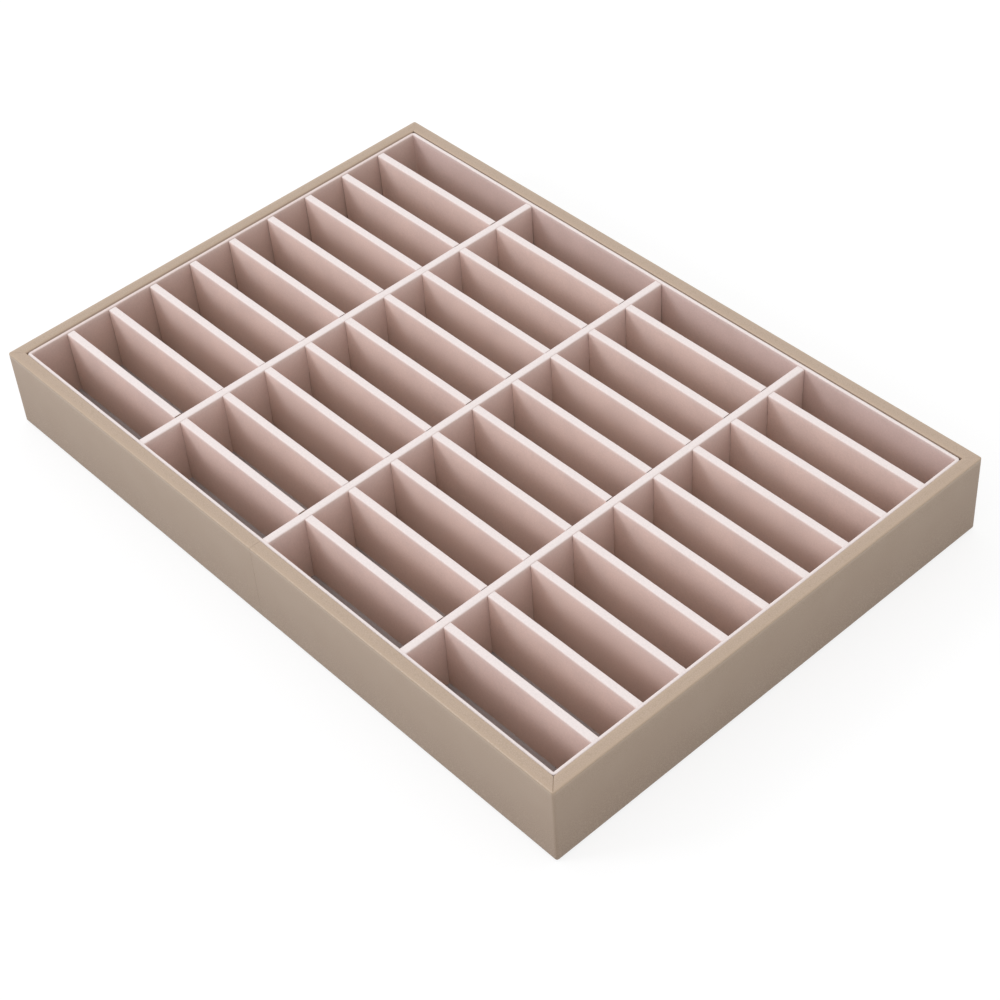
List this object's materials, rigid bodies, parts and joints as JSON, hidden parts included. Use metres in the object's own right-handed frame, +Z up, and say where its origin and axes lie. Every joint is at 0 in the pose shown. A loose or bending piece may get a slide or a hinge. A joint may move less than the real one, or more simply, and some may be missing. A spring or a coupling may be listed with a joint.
{
  "type": "jewelry tray",
  "caption": "Low rectangular tray wrapped in taupe leatherette and lined in blush velvet, with a lift-out grid of half-lapped velvet dividers that makes long narrow compartments for jewelry.",
  "frame": {"origin": "middle of the felt underside, on the surface that the tray stands on", "axes": "+X along the front, which is the long side, +Y from the front to the back, +Z up"},
  "size_m": [0.365, 0.25, 0.042],
  "materials": {
    "leatherette": "fine-grain taupe polyurethane leatherette, matt",
    "velvet": "short-pile blush velvet",
    "floor_velvet": "short-pile grey-taupe velvet",
    "felt": "pressed felt",
    "mdf": "raw fibreboard",
    "card": "greyboard"
  },
  "bodies": {
    "tray": {"base_panel": "mdf", "outer_wrap": "leatherette", "base_felt": "felt", "floor_card": "card", "floor_velvet": "floor_velvet", "front_wall": "mdf", "front_liner_card": "card", "front_liner_velvet": "velvet", "right_wall": "mdf", "right_liner_card": "card", "right_liner_velvet": "velvet", "back_wall": "mdf", "back_liner_card": "card", "back_liner_velvet": "velvet", "left_wall": "mdf", "left_liner_card": "card", "left_liner_velvet": "velvet"},
    "cross_grid": {"cross_divider_1_core": "mdf", "cross_divider_1_velvet": "velvet", "cross_divider_2_core": "mdf", "cross_divider_2_velvet": "velvet", "cross_divider_3_core": "mdf", "cross_divider_3_velvet": "velvet", "cross_divider_4_core": "mdf", "cross_divider_4_velvet": "velvet", "cross_divider_5_core": "mdf", "cross_divider_5_velvet": "velvet", "cross_divider_6_core": "mdf", "cross_divider_6_velvet": "velvet", "cross_divider_7_core": "mdf", "cross_divider_7_velvet": "velvet", "cross_divider_8_core": "mdf", "cross_divider_8_velvet": "velvet", "cross_divider_9_core": "mdf", "cross_divider_9_velvet": "velvet"},
    "long_divider_1": {"long_divider_1_core": "mdf", "long_divider_1_velvet": "velvet"},
    "long_divider_2": {"long_divider_2_core": "mdf", "long_divider_2_velvet": "velvet"},
    "long_divider_3": {"long_divider_3_core": "mdf", "long_divider_3_velvet": "velvet"}
  },
  "joints": [
    {"name": "grid_lift", "type": "slide", "parent": "tray", "child": "cross_grid", "axis": [0, 0, 1], "range_m": [0, 0.05]},
    {"name": "long_divider_1_lift", "type": "slide", "parent": "cross_grid", "child": "long_divider_1", "axis": [0, 0, 1], "range_m": [0, 0.04]},
    {"name": "long_divider_2_lift", "type": "slide", "parent": "cross_grid", "child": "long_divider_2", "axis": [0, 0, 1], "range_m": [0, 0.04]},
    {"name": "long_divider_3_lift", "type": "slide", "parent": "cross_grid", "child": "long_divider_3", "axis": [0, 0, 1], "range_m": [0, 0.04]}
  ]
}
